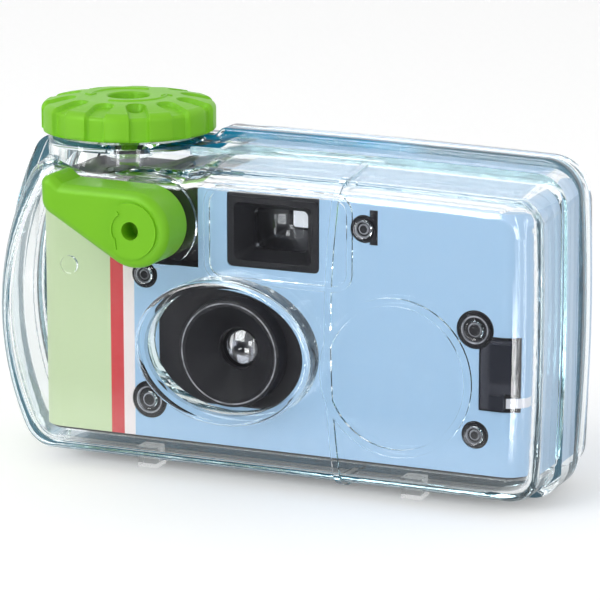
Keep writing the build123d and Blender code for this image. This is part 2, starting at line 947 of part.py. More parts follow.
def camera_rear_space():
    reach = camera_width
    return block(-reach, reach, cover_split_y, reach, -reach, reach)


def release_pocket(margin):
    """Room for the crank: deep beside the film cartridge, shallow above it."""
    y_range = (camera_y - overrun, behind(pocket_depth) + margin)
    x_high = across(pocket_right) + margin
    z_high = camera_top_z + overrun
    beside = block(across(pocket_neck) - margin, x_high, *y_range, above(pocket_bottom) - margin, z_high)
    over = block(across(pocket_left) - margin, x_high, *y_range, above(pocket_floor) - margin, z_high)
    return beside + over


def release_shelf():
    """Bracket that reaches from the pocket's left wall and guides the release button."""
    z_high = camera_top_z - release_guide_drop
    z_low = z_high - release_guide
    x_low = across(pocket_left)
    x_high = release_x + release_radius + release_guide
    shelf = block(x_low, x_high, camera_y, arm_hub_y - running_gap, z_low, z_high)
    hole = release_radius + bearing_gap
    return shelf - rod_along_z(release_x, release_y, hole, z_low - overrun, z_high + overrun)


def finder_opening(width, height, y_low, y_high):
    shape = Pos(finder_x, finder_z) * RectangleRounded(width, height, finder_corner)
    return slab(shape, y_low, y_high)


def wheel_opening():
    """Round hole in the camera's top over the hub of the thumb wheel."""
    radius = shaft_boss_radius
    return rod_along_z(knob_x, knob_y, radius, camera_top_z - camera_wall - overrun, camera_top_z + overrun)


def make_camera_front_cover():
    cover = (camera_block() - camera_hollow()) & camera_front_space()
    cover += release_pocket(camera_wall) & camera_block() & camera_front_space()
    cover -= release_pocket(0)
    cover -= rod_along_y(lens_x, lens_z, holder_radius, camera_y - overrun, camera_y + camera_wall + overrun)
    finder_back_y = camera_y + finder_recess + running_gap
    cover -= finder_opening(finder_width, finder_height, camera_y - overrun, finder_back_y)
    cover -= wheel_opening()
    window = Pos(counter_x, counter_y - counter_radius / 2, camera_top_z)
    cover -= window * Box(counter_window_width, counter_window_width, camera_wall + camera_wall + overrun)
    cover += release_shelf()
    for x, z, radius in post_places():
        cover += stud(x, z, radius)
    return cover


def stud(x, z, radius):
    """Round moulded socket behind a hole in the label: two raised rings on the camera's face."""
    rings = rod_along_y(x, z, radius - stud_ring, camera_y - stud_height, camera_y + camera_wall / 2)
    rings -= rod_along_y(x, z, radius - stud_ring - stud_ring, camera_y - stud_height - overrun, camera_y)
    inner = radius / 3
    centre = rod_along_y(x, z, inner, camera_y - stud_height / 2, camera_y + camera_wall / 2)
    return rings + centre


def make_camera_rear_cover():
    cover = (camera_block() - camera_hollow()) & camera_rear_space()
    back_y = camera_y + camera_depth
    inner_y = back_y - camera_wall
    cover -= finder_opening(eyepiece_width, eyepiece_height, inner_y - overrun, back_y + overrun)
    cover -= wheel_opening()
    pad_y = inner_y - pressure_pad
    half_width = gate_width / 2 + tunnel_wall
    half_height = gate_height / 2 + tunnel_wall
    z_range = (film_z - half_height, film_z + half_height)
    cover += block(lens_x - half_width, lens_x + half_width, pad_y, inner_y, *z_range)
    return cover


def make_label_sleeve():
    """Card belt round the camera, folded over its top at the right, cut out over what must show."""
    outer = camera_plan(-label_thickness)
    ring = outer - camera_plan(0)
    height = camera_height - camera_edge_bevel - camera_edge_bevel
    sleeve = Pos(0, 0, camera_z + camera_edge_bevel) * extrude(ring, height)
    sleeve += label_fold(outer)
    y_low = camera_y - label_thickness - overrun
    y_high = camera_y + overrun
    for x, z, radius in post_places():
        sleeve -= rod_along_y(x, z, radius, y_low, y_high)
    hatch_z = (above(hatch_bottom), above(hatch_top))
    tab_z = (above(tab_above), above(tab_above + tab_width))
    hatch_y = (y_low, behind(hatch_reach))
    hatch = block(hatch_left_x, hatch_right_x, *hatch_y, *hatch_z)
    sleeve -= hatch - block(hatch_right_x - tab_cover, hatch_right_x + overrun, *hatch_y, *tab_z)
    slot_x = across(keyhole_across + slot_shift)
    slot_top = camera_top_z - slot_top_margin
    sleeve -= block(slot_x, slot_x + slot_width, y_low, y_high, slot_top - slot_length, slot_top)
    sleeve -= slab(lens_panel_outline(-running_gap), y_low, y_high)
    room = running_gap + running_gap
    sleeve -= finder_opening(finder_width + room, finder_height + room, y_low, y_high)
    half_width = finder_width / 2 + running_gap
    notch_x = (finder_x - half_width, finder_x + half_width)
    notch_y = camera_y + label_notch_depth
    sleeve -= block(*notch_x, y_low, notch_y, finder_z, camera_top_z + overrun)
    back_y = camera_y + camera_depth
    eyepiece_y = (back_y - overrun, back_y + label_thickness + overrun)
    sleeve -= finder_opening(eyepiece_width + room, eyepiece_height + room, *eyepiece_y)
    sleeve -= release_pocket(0)
    return sleeve


def label_fold(outer):
    """Part of the card that stands up past the camera's upper edge and lies over its top."""
    low_z = camera_top_z - camera_edge_bevel
    fold = Pos(0, 0, low_z) * extrude(outer, camera_edge_bevel + label_thickness)
    fold -= Pos(0, 0, low_z) * extrude(camera_plan(0), camera_edge_bevel)
    reach = camera_width
    return fold & block(across(pocket_right), reach, -reach, reach, low_z, camera_top_z + overrun)


def lens_panel_outline(margin):
    x_high = lens_panel_half_width - margin
    z_high = lens_panel_half_height - margin
    x_low = margin - lens_panel_left
    z_low = margin - lens_panel_flat
    keep = Pos((x_low + x_high) / 2, (z_low + z_high) / 2) * Rectangle(x_high - x_low, z_high - z_low)
    return Pos(lens_x - lens_panel_shift, lens_z + lens_panel_rise) * (Ellipse(x_high, z_high) & keep)


def make_lens_panel():
    """Dark plate round the lens, standing a little proud of the label."""
    front_y = camera_y - lens_panel_height
    panel = slab(lens_panel_outline(0), front_y, camera_y)
    panel -= rod_along_y(lens_x, lens_z, lens_hood_radius, front_y - overrun, camera_y + overrun)
    return panel


def make_lens_hood():
    """Cone that stands in front of the lens, narrowing from its mouth to the throat."""
    mouth_y = camera_y - lens_hood_reach
    hood = rod_along_y(lens_x, lens_z, lens_hood_radius, mouth_y, camera_y)
    edge = hood.edges().group_by(Axis.Y)[0]
    hood = fillet(edge, (lens_hood_radius - lens_hood_mouth) / 2)
    sections = [
        front_plane(mouth_y - overrun / 2) * Pos(lens_x, lens_z) * Circle(lens_hood_mouth),
        front_plane(camera_y) * Pos(lens_x, lens_z) * Circle(lens_hood_throat),
    ]
    hood -= loft(sections, ruled=True)
    return hood


def make_taking_lens():
    """Meniscus lens: domed front, flat back."""
    sphere = (lens_radius**2 + lens_dome**2) / (lens_dome + lens_dome)
    half_angle = math.asin(lens_radius / sphere) / 2
    top = (0, -lens_dome)
    rim = (lens_radius, 0)
    midway = (sphere * math.sin(half_angle), sphere - sphere * math.cos(half_angle) - lens_dome)
    back = lens_thickness - lens_dome
    profile = ThreePointArc(top, midway, rim)
    profile += Polyline(rim, (lens_radius, back), (0, back), top)
    solid = revolve(make_face(profile), Axis.Y)
    return Pos(lens_x, lens_front_y + lens_dome, lens_z) * solid


def make_lens_holder():
    holder = rod_along_y(lens_x, lens_z, holder_radius - bearing_gap, camera_y, holder_back_y)
    holder -= rod_along_y(lens_x, lens_z, lens_radius, camera_y - overrun, lens_front_y + lens_thickness)
    holder -= rod_along_y(lens_x, lens_z, lens_radius - lens_dome, camera_y, holder_back_y + overrun)
    return holder


def make_aperture_plate():
    plate = rod_along_y(lens_x, lens_z, holder_radius + holder_radius / 2, holder_back_y, aperture_back_y)
    plate -= rod_along_y(lens_x, lens_z, aperture_radius, holder_back_y - overrun, aperture_back_y + overrun)
    y_low = holder_back_y - overrun
    plate -= rod_along_y(shutter_pin_x, shutter_pin_z, shutter_pin_radius, y_low, aperture_back_y + overrun)
    return plate


def make_shutter_blade():
    hub = Circle(shutter_pin_radius + shutter_pin_radius)
    over_lens = Pos(lens_x - shutter_pin_x, lens_z - shutter_pin_z) * Circle(blade_width / 2)
    blade = make_hull(hub.edges() + over_lens.edges())
    shape = slab(Pos(shutter_pin_x, shutter_pin_z) * blade, blade_y, blade_y + blade_thickness)
    hole = shutter_pin_radius + shaft_clearance
    y_high = blade_y + blade_thickness + overrun
    shape -= rod_along_y(shutter_pin_x, shutter_pin_z, hole, blade_y - overrun, y_high)
    return shape


def make_shutter_pin():
    return rod_along_y(shutter_pin_x, shutter_pin_z, shutter_pin_radius, holder_back_y, shutter_wall_y)


def make_camera_chassis():
    """Shutter wall, light tunnel and film gate, chamber walls for cartridge and roll, and the upper deck."""
    z_low = camera_z + camera_wall
    gate_x_low = lens_x - gate_width / 2
    gate_x_high = lens_x + gate_width / 2
    gate = block(
        gate_x_low - tunnel_wall,
        gate_x_high + tunnel_wall,
        gate_y,
        gate_y + gate_thickness,
        z_low,
        deck_z,
    )
    sections = [
        front_plane(shutter_wall_y) * Pos(lens_x, lens_z) * Rectangle(2 * tunnel_mouth, 2 * tunnel_mouth),
        front_plane(gate_y + gate_thickness) * Pos(lens_x, film_z) * Rectangle(
            gate_width + tunnel_wall, gate_height + tunnel_wall
        ),
    ]
    tunnel = loft(sections, ruled=True)
    lens_place = Pos(lens_x, lens_z)
    mouth = Rectangle(holder_radius, holder_radius)
    picture = Rectangle(gate_width, gate_height)
    holes = [
        front_plane(shutter_wall_y + tunnel_wall) * lens_place * mouth,
        front_plane(gate_y + gate_thickness + overrun) * lens_place * picture,
    ]
    chassis = gate + tunnel - loft(holes, ruled=True)
    light_hole = aperture_radius + aperture_radius
    y_high = shutter_wall_y + tunnel_wall + overrun
    chassis -= rod_along_y(lens_x, lens_z, light_hole, shutter_wall_y - overrun, y_high)
    chassis += chamber_wall(knob_x, cartridge_radius, 1, z_low)
    chassis += chamber_wall(roll_x, cartridge_radius, -1, z_low)
    chassis -= release_pocket(camera_wall + bearing_gap)
    chassis -= finder_room()
    sprocket_room = sprocket_tip + running_gap
    z_low = sprocket_z - sprocket_stub - running_gap
    chassis -= rod_along_z(across(sprocket_across), sprocket_y, sprocket_room, z_low, deck_z)
    return chassis


def finder_room():
    """Space that the viewfinder frame and its tunnel take, with a gap all round."""
    gap = running_gap + running_gap
    bezel_back = camera_y + finder_recess + running_gap
    room = finder_opening(finder_width + gap, finder_height + gap, camera_y - overrun, bezel_back)
    return room + finder_tunnel_outer(running_gap)


def chamber_wall(x, radius, side, z_low):
    """Part-round wall on the inner side of a film chamber, joined to the gate plate."""
    inner = radius + running_gap
    outer = inner + tunnel_wall
    ring = Circle(outer) - Circle(inner)
    keep = Pos(side * outer / 2 + side * inner / 2, 0) * Rectangle(outer, camera_depth)
    arc = Pos(x, knob_y) * (ring & keep)
    wall_solid = Pos(0, 0, z_low) * extrude(arc, deck_z - z_low)
    front_limit = behind(camera_wall)
    reach = camera_width
    wall_solid &= block(-reach, reach, front_limit, gate_y + gate_thickness, -reach, reach)
    gate_edge = lens_x - side * (gate_width / 2 + tunnel_wall / 2)
    chord = math.sqrt(inner**2 - (gate_y - knob_y) ** 2)
    x_start = x + side * (chord + tunnel_wall / 2)
    low_x = min(x_start, gate_edge)
    high_x = max(x_start, gate_edge)
    web = block(low_x, high_x, gate_y, gate_y + gate_thickness, z_low, deck_z)
    return wall_solid + web


def make_film_cartridge():
    """Sealed can with two crimped end caps and a light-trap lip."""
    can = rod_along_z(knob_x, knob_y, cartridge_radius - cartridge_lip, cartridge_bottom_z, cartridge_top_z)
    for z in (cartridge_bottom_z, cartridge_top_z - cartridge_cap):
        can += rod_along_z(knob_x, knob_y, cartridge_radius, z, z + cartridge_cap)
    bore = spool_hub_radius + running_gap
    can -= rod_along_z(knob_x, knob_y, bore, cartridge_bottom_z - overrun, cartridge_top_z + overrun)
    return can


def make_cartridge_spool():
    """Core of the cartridge, standing out of both ends of the can."""
    z_low = cartridge_bottom_z - cartridge_cap
    return rod_along_z(knob_x, knob_y, spool_hub_radius, z_low, wheel_bottom_z)


def make_wind_wheel():
    """Toothed wheel over the cartridge; its hub takes the key of the knob's stem."""
    wheel = rod_along_z(knob_x, knob_y, wheel_radius, wheel_bottom_z, wheel_top_z)
    for number in range(wheel_teeth):
        angle = math.tau * number / wheel_teeth
        x = knob_x + wheel_radius * math.cos(angle)
        y = knob_y + wheel_radius * math.sin(angle)
        wheel -= rod_along_z(x, y, wheel_tooth_radius, wheel_bottom_z - overrun, wheel_top_z + overrun)
    hub_radius = shaft_boss_radius - running_gap
    wheel += rod_along_z(knob_x, knob_y, hub_radius, wheel_bottom_z, camera_top_z)
    half_width = key_width / 2 + key_clearance
    half_length = key_length / 2 + key_clearance
    wheel -= block(
        knob_x - half_length,
        knob_x + half_length,
        knob_y - half_width,
        knob_y + half_width,
        camera_top_z + running_gap - key_depth - key_clearance,
        camera_top_z + overrun,
    )
    return wheel


def make_film_strip():
    chord = math.sqrt(cartridge_radius**2 - (film_front_y - knob_y) ** 2)
    x_low = knob_x + chord + film_gap
    x_high = roll_x
    half_height = film_height / 2
    back_y = film_y + film_thickness / 2
    return block(x_low, x_high, film_front_y, back_y, film_z - half_height, film_z + half_height)


def make_film_roll():
    half_height = film_height / 2
    roll = rod_along_z(roll_x, roll_y, roll_radius, film_z - half_height, film_z + half_height)
    z_low = film_z - half_height - overrun
    z_high = film_z + half_height + overrun
    roll -= rod_along_z(roll_x, roll_y, roll_core_radius, z_low, z_high)
    return roll


def make_supply_spool():
    z_low = camera_z + camera_wall
    spool = rod_along_z(roll_x, roll_y, roll_core_radius, z_low, film_z + film_height / 2)
    flange_z = film_z + film_height / 2
    spool += rod_along_z(roll_x, roll_y, roll_radius, flange_z, flange_z + cartridge_cap)
    return spool


def make_sprocket_wheel():
    x = across(sprocket_across)
    wheel = rod_along_z(x, sprocket_y, sprocket_root, sprocket_z, sprocket_z + sprocket_height)
    length = sprocket_tip - sprocket_root + sprocket_tooth_width
    tooth = Box(length, sprocket_tooth_width, sprocket_tooth_width)
    middle = Pos(x, sprocket_y, sprocket_z + sprocket_height / 2)
    for number in range(sprocket_teeth):
        turn = Rot(0, 0, 360 / sprocket_teeth * number)
        wheel += middle * turn * Pos(sprocket_tip - length / 2, 0, 0) * tooth
    wheel += rod_along_z(x, sprocket_y, sprocket_shaft_radius, sprocket_z - sprocket_stub, deck_z)
    return wheel


def make_counter_disc():
    """Frame counter: a thin toothed disc on a short stub."""
    top_z = counter_bottom_z + counter_thickness
    disc = rod_along_z(counter_x, counter_y, counter_radius, counter_bottom_z, top_z)
    for number in range(counter_marks):
        angle = math.tau * number / counter_marks
        x = counter_x + counter_radius * math.cos(angle)
        y = counter_y + counter_radius * math.sin(angle)
        disc -= rod_along_z(x, y, counter_thickness / 2, counter_bottom_z - overrun, top_z + overrun)
    disc += rod_along_z(counter_x, counter_y, sprocket_shaft_radius, wheel_bottom_z, counter_bottom_z)
    return disc


def make_counter_window():
    z_low = camera_top_z - camera_wall
    half = counter_window_width / 2
    middle_y = counter_y - counter_radius / 2
    return block(counter_x - half, counter_x + half, middle_y - half, middle_y + half, z_low, camera_top_z)


def make_upper_deck():
    """Plate above the film that carries the wheel, the counter and the pawl."""
    plan = camera_plan(camera_wall + bearing_gap)
    deck = Pos(0, 0, deck_z) * extrude(plan, deck_thickness)
    reach = camera_width
    right_x = finder_x - finder_inner_width / 2 - finder_rim - running_gap
    deck &= block(-reach, right_x, -reach, reach, -reach, reach)
    deck -= release_pocket(camera_wall + bearing_gap)
    deck -= finder_room()
    bore = spool_hub_radius + bearing_gap
    deck -= rod_along_z(knob_x, knob_y, bore, deck_z - overrun, wheel_bottom_z + overrun)
    return deck


def finder_tunnel_outer(margin):
    width = finder_inner_width + finder_rim + finder_rim + margin + margin
    height = finder_inner_height + finder_rim + finder_rim + margin + margin
    shape = Pos(finder_x, finder_z) * RectangleRounded(width, height, finder_corner)
    return slab(shape, camera_y + finder_recess, tunnel_back_y)


def make_viewfinder_frame():
    """Black window frame in the front, with a square tunnel to the eyepiece."""
    front_y = camera_y - label_thickness
    bezel = finder_opening(finder_width, finder_height, front_y, camera_y + finder_recess)
    sections = [
        front_plane(front_y - overrun / 2) * Pos(finder_x, finder_z) * RectangleRounded(
            finder_width - finder_rim - finder_rim, finder_height - finder_rim - finder_rim, finder_corner
        ),
        front_plane(camera_y + finder_recess) * Pos(finder_x, finder_z) * RectangleRounded(
            finder_inner_width, finder_inner_height, finder_corner
        ),
    ]
    bezel -= loft(sections, ruled=True)
    tunnel = finder_tunnel_outer(0)
    bore = Pos(finder_x, finder_z) * RectangleRounded(finder_inner_width, finder_inner_height, finder_corner)
    tunnel -= slab(bore, camera_y, tunnel_back_y + overrun)
    return bezel + tunnel


def make_viewfinder_front_lens():
    """Diverging lens: flat front, hollow back."""
    y_low = camera_y + finder_recess
    lens = finder_opening(finder_inner_width, finder_inner_height, y_low, y_low + finder_lens_edge)
    hollow_y = y_low + finder_lens_centre + finder_lens_curve
    return lens - Pos(finder_x, hollow_y, finder_z) * Sphere(finder_lens_curve)


def make_viewfinder_rear_lens():
    y_high = tunnel_back_y
    y_low = y_high - finder_lens_thickness
    lens = finder_opening(finder_inner_width, finder_inner_height, y_low, y_high)
    return lens + finder_opening(eyepiece_width, eyepiece_height, y_low, camera_y + camera_depth)


def make_release_button():
    z_low = release_top_z - release_height
    return rod_along_z(release_x, release_y, release_radius, z_low, release_top_z)


def make_lock_pawl():
    """Small pawl on the deck that stops the wheel after each frame."""
    x = across(pawl_across)
    y = behind(pawl_behind)
    z_low = wheel_bottom_z + running_gap
    hub = Circle(pawl_width)
    nose = Pos(-pawl_length, -pawl_width) * Circle(pawl_nose_radius)
    arm = make_hull(hub.edges() + nose.edges())
    pawl = Pos(x, y, z_low) * extrude(arm, pawl_thickness)
    hole = shutter_pin_radius + shaft_clearance
    pawl -= rod_along_z(x, y, hole, z_low - overrun, z_low + pawl_thickness + overrun)
    return pawl


def make_pawl_pin():
    z_low = wheel_bottom_z
    z_high = z_low + running_gap + pawl_thickness + running_gap
    return rod_along_z(across(pawl_across), behind(pawl_behind), shutter_pin_radius, z_low, z_high)


def make_hatch_plate():
    """Dark moulded flap that shows through the label's right cut-out."""
    margin = hatch_plate_margin
    x_low = hatch_left_x + margin
    x_high = hatch_right_x - margin
    box_x = x_low + hatch_box_inset
    step_x = box_x + hatch_step_width
    front_y = camera_y - hatch_plate_height
    box_y = front_y - hatch_box_height
    z_low = above(hatch_bottom) + margin
    z_high = above(hatch_top) - margin
    z_step = z_low + hatch_step_above
    plate = block(x_low, x_high, front_y, behind(hatch_reach), z_step, z_high)
    plate += block(x_low, step_x, front_y, behind(hatch_reach), z_low, z_step)
    plate += block(box_x, step_x, box_y, camera_y, z_low, z_step - hatch_groove)
    plate += block(box_x, x_high, box_y, camera_y, z_step + hatch_box_gap, z_high - margin)
    plate -= camera_block()
    plate -= rod_along_y(hatch_post_x, above(hatch_post_above), wide_post_opening, box_y - overrun, camera_y)
    return plate


nodes = {
    "front_shell": make_front_shell,
    "rear_shell": make_rear_shell,
    "housing_gasket": gasket_ring,
    "wind_knob": make_wind_knob,
    "knob_shaft": make_knob_shaft,
    "knob_clip": make_knob_clip,
    "knob_seal": make_knob_seal,
    "shutter_lever": make_shutter_lever,
    "lever_shaft": make_lever_shaft,
    "lever_seal": make_lever_seal,
    "lever_spring": make_lever_spring,
    "release_arm": make_release_arm,
    "camera_front_cover": make_camera_front_cover,
    "camera_rear_cover": make_camera_rear_cover,
    "camera_chassis": make_camera_chassis,
    "upper_deck": make_upper_deck,
    "label_sleeve": make_label_sleeve,
    "hatch_plate": make_hatch_plate,
    "lens_panel": make_lens_panel,
    "lens_hood": make_lens_hood,
    "taking_lens": make_taking_lens,
    "lens_holder": make_lens_holder,
    "aperture_plate": make_aperture_plate,
    "shutter_blade": make_shutter_blade,
    "shutter_pin": make_shutter_pin,
    "viewfinder_frame": make_viewfinder_frame,
    "viewfinder_front_lens": make_viewfinder_front_lens,
    "viewfinder_rear_lens": make_viewfinder_rear_lens,
    "release_button": make_release_button,
    "film_cartridge": make_film_cartridge,
    "cartridge_spool": make_cartridge_spool,
    "wind_wheel": make_wind_wheel,
    "film_strip": make_film_strip,
    "film_roll": make_film_roll,
    "supply_spool": make_supply_spool,
    "sprocket_wheel": make_sprocket_wheel,
    "counter_disc": make_counter_disc,
    "counter_window": make_counter_window,
    "lock_pawl": make_lock_pawl,
    "pawl_pin": make_pawl_pin,
}

os.makedirs("parts", exist_ok=True)
for name, make in nodes.items():
    export_step(make(), f"parts/{name}.step")
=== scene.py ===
import math

import bmesh
import bpy
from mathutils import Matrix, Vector


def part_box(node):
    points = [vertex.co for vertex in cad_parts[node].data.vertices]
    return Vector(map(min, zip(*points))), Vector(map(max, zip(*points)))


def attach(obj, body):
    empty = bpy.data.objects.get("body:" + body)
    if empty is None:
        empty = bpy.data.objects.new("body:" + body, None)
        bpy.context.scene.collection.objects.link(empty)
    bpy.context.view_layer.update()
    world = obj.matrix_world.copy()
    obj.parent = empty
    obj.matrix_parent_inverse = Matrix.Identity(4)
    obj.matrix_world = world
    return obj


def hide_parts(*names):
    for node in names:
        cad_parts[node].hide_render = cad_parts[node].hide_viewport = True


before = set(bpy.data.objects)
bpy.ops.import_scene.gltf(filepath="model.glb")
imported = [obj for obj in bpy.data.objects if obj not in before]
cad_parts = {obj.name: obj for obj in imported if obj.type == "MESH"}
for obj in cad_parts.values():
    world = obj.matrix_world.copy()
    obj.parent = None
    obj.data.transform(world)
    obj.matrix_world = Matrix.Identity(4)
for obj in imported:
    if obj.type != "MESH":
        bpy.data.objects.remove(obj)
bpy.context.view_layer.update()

MM = 0.001

# Camera, solved from the printed label's corners in the photograph
camera_azimuth = 23.655
camera_elevation = 13.028
camera_distance = 0.7118
camera_target = Vector((0.0095, -0.00965, 0.0403))
sensor_width = 36.0
focal_pixels = 3489.6
image_pixels = 600.0
camera_clip_start = 0.01

# Knob's own sizes
knob_radius = 18.4
knob_height = 7.0
knob_dome_drop = 1.0
knob_flat_radius = 10.5
knob_edge_radius = 1.8
knob_hole_radius = 4.4
knob_hole_depth = 3.6
knob_lip = 0.5
knob_skirt = 2.4
knob_skirt_depth = 3.0
knob_hub_radius = 5.6
knob_socket_radius = 2.1
knob_recesses = 12
knob_recess_angle = 3.0
knob_recess_width = 4.0
knob_recess_depth = 1.0
knob_recess_inner = 11.2
knob_recess_softness = 0.22
knob_arrow_radius = 8.0
knob_arrow_height = 0.28
knob_arrow_line = 0.3
knob_arrow_starts = (-95.0, 85.0)
knob_arrow_sweep = 120.0
knob_arrow_barb = 1.7
knob_small_hole_radius = 1.5
knob_small_hole_place = 12.8
knob_small_hole_angle = -57.0
knob_sides = 480
knob_dome_power = 1.6
knob_sharp_angle = 50.0
knob_arrow_barb_angle = math.pi / 5

# Recesses start this far inside their inner end, and leave the profile's last points, its underside, alone
knob_recess_reach = 1.0
knob_underside_points = 7

# Cutter of the small hole: its start below the knob, then how much wider and how far below the knob's top
small_hole_start = -1.0
small_hole_flare = ((0.0, 1.4), (0.5, 0.7), (0.6, -1.0))
small_hole_sides = 40

# Printed fields of the label, from its left edge, and the bare card tab across its hatch
label_side_margin = 1.6
label_thickness = 0.25
label_end_margin = 0.6
tab_length = 4.2
tab_reach = 5.6
tab_above = 14.9
tab_width = 2.0
tab_colour = (228, 228, 236)
label_fields = (
    (0.0, (200, 218, 172)),
    (14.9, (206, 34, 44)),
    (17.9, (243, 232, 232)),
    (20.5, (158, 194, 227)),
)

# Round studs on the camera's front as X, Z and radius of their opening, and the hood's edge; both carry
# painted highlight rings
studs = (
    (-25.2, 42.8, 2.9),
    (-24.3, 16.1, 4.0),
    (24.0, 56.5, 2.9),
    (48.1, 38.0, 4.0),
    (48.3, 16.3, 2.9),
)
# Painted highlight rings on the studs: inset from each opening, width and colour; then the painted highlight
# on the hood's edge as radius, width and colour
stud_highlight_inset = 1.25
stud_highlight_width = 0.32
stud_highlight_colour = (175, 176, 184)
hood_highlight_radius = 10.55
hood_highlight_width = 0.3
hood_highlight_colour = (160, 160, 166)

white = (1.0, 1.0, 1.0)

# Noise patterns as scale and detail
colour_drift = (60.0, 3.0)
clear_flow = (40.0, 2.0)
seal_streaks = (120.0, 3.0)
# The next noise breaks up the painted highlight lines on black edges
highlight_breakup = (350.0, 2.0)
print_speckle = (300.0, 4.0)
card_grain = (1500.0, 3.0)
grain_detail = 4.0

# Moulded and clear plastic
roughness_spread = 0.06
grain_distance = 0.0004
clear_roughness = 0.02
wave_distance = 0.0005
black_finish = {"roughness": 0.45, "grain": 0.006, "specular": 0.2}

# Painted highlight lines on black round edges: least strength, and the noise between which they break up
highlight_least = 0.35
highlight_breakup_limits = (0.35, 0.6)

# Gasket's rubber, with the X between which its right and left ends turn clearer and are painted paler, a
# painted lightening and not the rubber's own colour
seal_deeper = 0.7
seal_streak_limits = (0.35, 0.65)
seal_ends_right = (0.016, 0.03)
seal_ends_left = (-0.05, -0.04)
seal_pale_share = 0.9
seal_clearness = (0.35, 0.95)
seal_roughness = 0.2
seal_index = 1.4

# Label's card
speckle_share = 0.06
card_roughness = (0.3, 0.42)
card_bump = (0.05, 0.0001)

# Floor, with the Y between which it ends in gloss and through plastic
floor_half_side = 3.0
floor_shade = 0.97
floor_roughness = 0.9
floor_specular = 0.1
floor_lift = 0.11
floor_end = (-0.08, -0.05)

# Studio: how bright matt surfaces see it, and its brightness from straight down (0) to straight up (1)
studio_light = 0.78
studio_bands = (
    (0.0, (1.1, 1.1, 1.13)),
    (0.42, (1.1, 1.1, 1.14)),
    (0.50, (0.98, 0.98, 1.06)),
    (0.60, (1.1, 1.1, 1.13)),
    (1.0, (1.12, 1.12, 1.12)),
)

# Dark card in front: its colour, and the lowest and highest X and Z of its direction
dark_front = (0.1, 0.1, 0.11)
dark_card_across = (-0.62, -0.16)
dark_card_upward = (-0.42, -0.06)

# Strip lights in front as X of their direction and half width; they end at these Y and Z
strip_lights = (
    (0.16, 0.035),
    (0.62, 0.05),
    (-0.72, 0.06),
)
strip_brightness = 7.0
strip_core = 0.6
strip_front = (-0.25, -0.2)
strip_upward = (-0.55, 0.5)

# Soft boxes as the lowest and highest X and Z of their direction, and how bright they are
soft_boxes = (
    ((-0.58, -0.24), (0.05, 0.5), 14.0),
    ((-0.2, -0.06), (-0.45, -0.24), 14.0),
    ((-0.03, 0.08), (-0.12, 0.06), 14.0),
)
soft_box_edge = 0.03

# Lamps as name, place, size and power
lamp_aim = (0, 0, 0.03)
lamps = (
    ("key", (-0.5, -0.7, 0.9), (0.6, 0.6), 4.0),
    ("fill", (0.8, -0.5, 0.5), (0.5, 0.5), 1.0),
)
light_bounces = 24


def node_box(name):
    low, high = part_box(name)
    return low, high, (low + high) / 2


def srgb(red, green, blue):
    """Photograph colour, 0 to 255, as the linear value that a shader takes."""
    out = []
    for part in (red, green, blue):
        part = part / 255
        out.append(part / 12.92 if part <= 0.04045 else ((part + 0.055) / 1.055) ** 2.4)
    return tuple(out)


# Shader helpers

def new_material(name):
    material = bpy.data.materials.new(name)
    material.use_nodes = True
    material.node_tree.nodes.clear()
    output = material.node_tree.nodes.new("ShaderNodeOutputMaterial")
    return material, material.node_tree, output


def link(tree, source, target):
    tree.links.new(source, target)


def object_place(tree):
    return tree.nodes.new("ShaderNodeTexCoord").outputs["Object"]


def object_axes(tree):
    """X, Y and Z of a place on the object."""
    split = tree.nodes.new("ShaderNodeSeparateXYZ")
    link(tree, object_place(tree), split.inputs["Vector"])
    return split.outputs


def noise(tree, scale, detail):
    node = tree.nodes.new("ShaderNodeTexNoise")
    node.inputs["Scale"].default_value = scale
    node.inputs["Detail"].default_value = detail
    link(tree, object_place(tree), node.inputs["Vector"])
    return node.outputs["Fac"]


def colour_mix(tree, factor, first, second):
    node = tree.nodes.new("ShaderNodeMix")
    node.data_type = "RGBA"
    link(tree, factor, node.inputs["Factor"])
    for socket, colour in (("A", first), ("B", second)):
        if isinstance(colour, tuple):
            node.inputs[socket].default_value = (*colour, 1)
        else:
            link(tree, colour, node.inputs[socket])
    return node.outputs["Result"]


def value_range(tree, source, low, high, from_low=0.0, from_high=1.0):
    node = tree.nodes.new("ShaderNodeMapRange")
    link(tree, source, node.inputs["Value"])
    node.inputs["From Min"].default_value = from_low
    node.inputs["From Max"].default_value = from_high
    node.inputs["To Min"].default_value = low
    node.inputs["To Max"].default_value = high
    return node.outputs["Result"]


def bump(tree, height, strength, distance):
    node = tree.nodes.new("ShaderNodeBump")
    node.inputs["Strength"].default_value = strength
    node.inputs["Distance"].default_value = distance
    link(tree, height, node.inputs["Height"])
    return node.outputs["Normal"]


def combine(tree, operation, first, second):
    node = tree.nodes.new("ShaderNodeMath")
    node.operation = operation
    for number, source in enumerate((first, second)):
        if isinstance(source, float):
            node.inputs[number].default_value = source
        else:
            link(tree, source, node.inputs[number])
    return node.outputs["Value"]


def maximum(tree, first, second):
    return combine(tree, "MAXIMUM", first, second)


def product(tree, first, second):
    return combine(tree, "MULTIPLY", first, second)


def inside(tree, source, low, high):
    """1 where the value is between two limits, 0 elsewhere."""
    above = combine(tree, "GREATER_THAN", source, low)
    return product(tree, above, combine(tree, "LESS_THAN", source, high))


# Materials

def moulded(name, colour, roughness, grain=0.02, grain_scale=900.0, specular=0.5, shade=0.92):
    """Moulded plastic: slight colour drift, fine grain in its bump and roughness."""
    material, tree, output = new_material(name)
    shader = tree.nodes.new("ShaderNodeBsdfPrincipled")
    darker = tuple(part * shade for part in colour)
    link(tree, colour_mix(tree, noise(tree, *colour_drift), darker, colour), shader.inputs["Base Color"])
    fine = noise(tree, grain_scale, grain_detail)
    rough = value_range(tree, fine, roughness - roughness_spread, roughness + roughness_spread)
    link(tree, rough, shader.inputs["Roughness"])
    shader.inputs["Specular IOR Level"].default_value = specular
    link(tree, bump(tree, fine, grain, grain_distance), shader.inputs["Normal"])
    link(tree, shader.outputs["BSDF"], output.inputs["Surface"])
    return material


